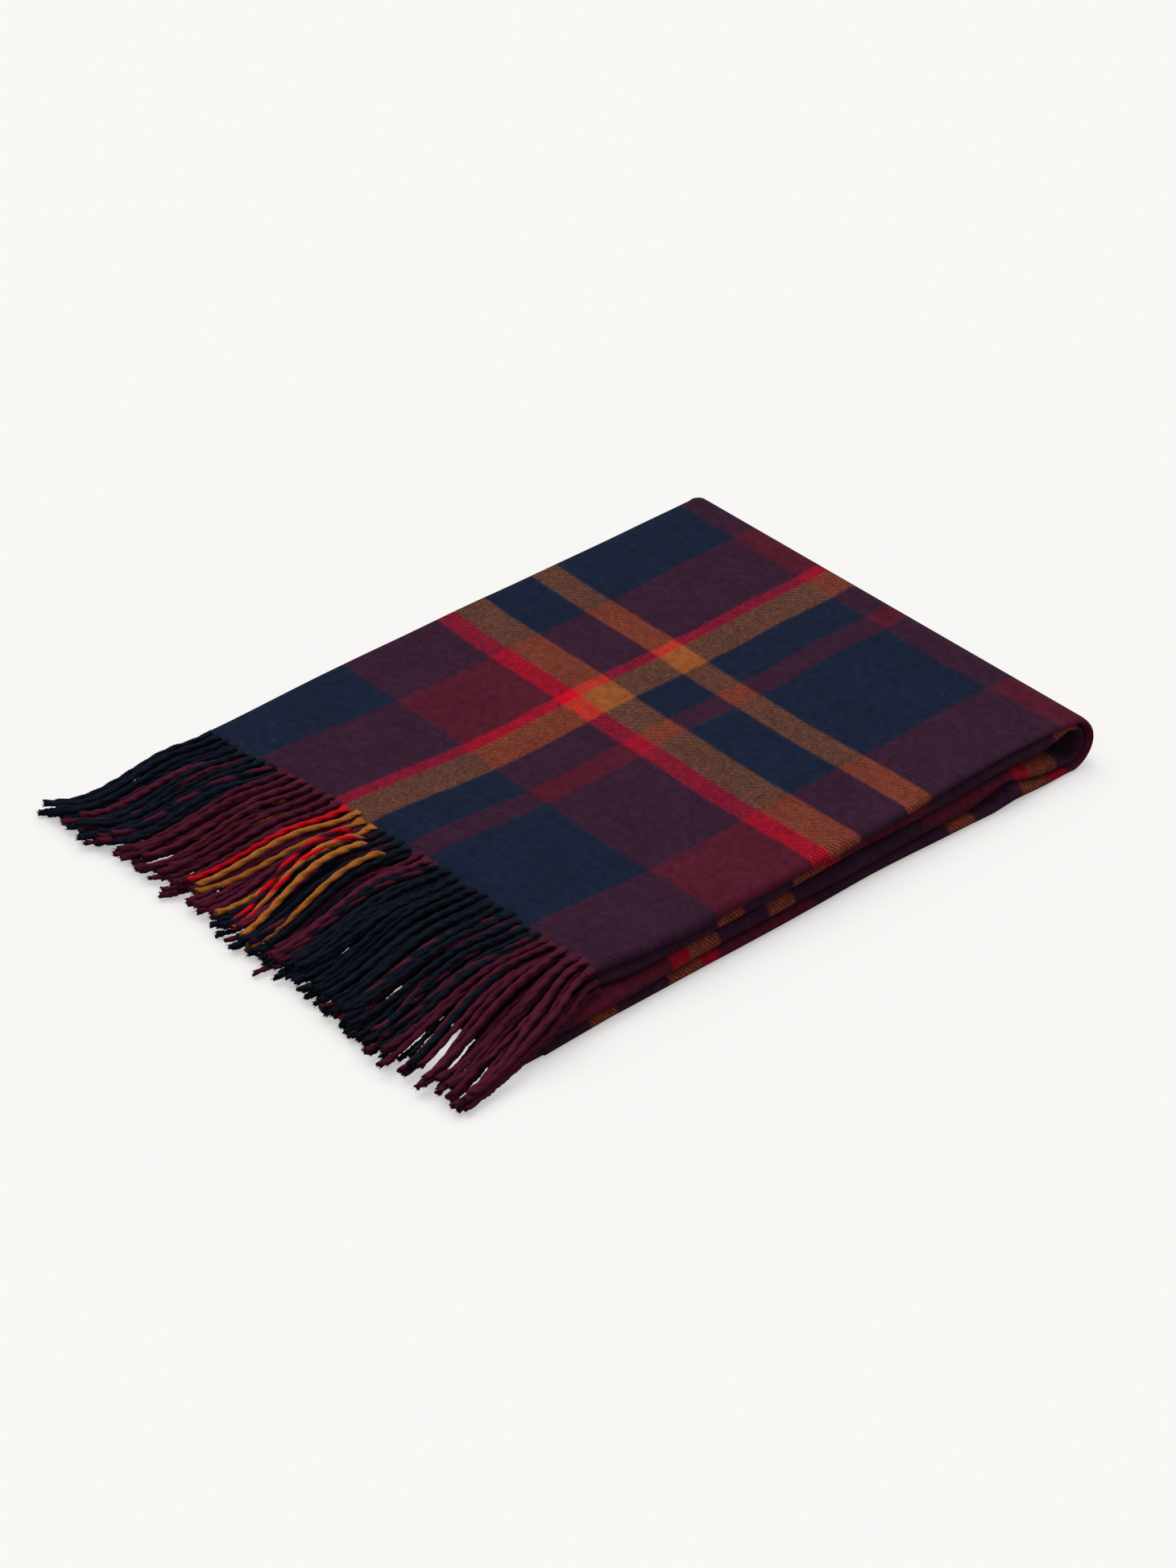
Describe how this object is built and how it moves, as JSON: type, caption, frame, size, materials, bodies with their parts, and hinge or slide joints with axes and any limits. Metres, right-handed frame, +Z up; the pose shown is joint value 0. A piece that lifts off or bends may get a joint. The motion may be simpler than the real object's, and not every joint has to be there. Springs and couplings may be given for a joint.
{
  "type": "folded throw blanket",
  "caption": "Checked brushed-wool throw with twisted fringe, folded into a flat rectangular stack that opens at its far turn.",
  "frame": {"origin": "on the ground under the middle of the folded stack, fringe included", "axes": "+X from the fringe to the closed far turns, +Z up, -Y towards the thick front folds"},
  "size_m": [0.5282, 0.3956, 0.0397],
  "materials": {
    "checked_wool": "brushed twill woven in a navy, burgundy, red and gold check",
    "yarn_mixed": "two-ply twisted wool fringe in the colours of the warp",
    "yarn_navy": "two-ply twisted wool, navy",
    "yarn_burgundy": "two-ply twisted wool, burgundy",
    "yarn_red": "two-ply twisted wool, red",
    "yarn_gold": "two-ply twisted wool, gold"
  },
  "bodies": {
    "lower": {"bottom_quarter": "checked_wool", "third_quarter": "checked_wool", "near_turn": "checked_wool", "outer_turn_lower": "checked_wool", "inner_turn_lower": "checked_wool"},
    "spine": {"outer_turn_spine": "checked_wool", "inner_turn_spine": "checked_wool"},
    "upper": {"second_quarter": "checked_wool", "top_quarter": "checked_wool", "outer_turn_upper": "checked_wool", "inner_turn_upper": "checked_wool", "under_fringe_ply_1": "yarn_mixed", "under_fringe_ply_2": "yarn_mixed", "under_fringe_ply_3": "yarn_mixed", "under_fringe_ply_4": "yarn_mixed"},
    "fringe": {"fringe_ply_1": "yarn_mixed", "fringe_ply_2": "yarn_mixed", "fringe_ply_3": "yarn_mixed", "fringe_navy_back": "yarn_navy", "fringe_burgundy_back": "yarn_burgundy", "fringe_red": "yarn_red", "fringe_gold": "yarn_gold", "fringe_navy_middle": "yarn_navy", "fringe_burgundy_middle": "yarn_burgundy", "fringe_navy_front": "yarn_navy", "fringe_burgundy_front": "yarn_burgundy"}
  },
  "joints": [
    {"name": "open_spine", "type": "hinge", "parent": "lower", "child": "spine", "pos_m": [0.25826, 0, 0.00581], "axis": [0, 1, 0], "range_deg": [0, 90]},
    {"name": "open_upper", "type": "hinge", "parent": "spine", "child": "upper", "pos_m": [0.25826, 0, 0.03389], "axis": [0, 1, 0], "range_deg": [0, 90]},
    {"name": "turn_back_fringe", "type": "hinge", "parent": "upper", "child": "fringe", "pos_m": [-0.15577, 0, 0.0397], "axis": [0, 1, 0], "range_deg": [0, 150]}
  ],
  "couplings": [
    {"joint": "open_spine", "follows": "open_upper", "ratio": 1}
  ]
}
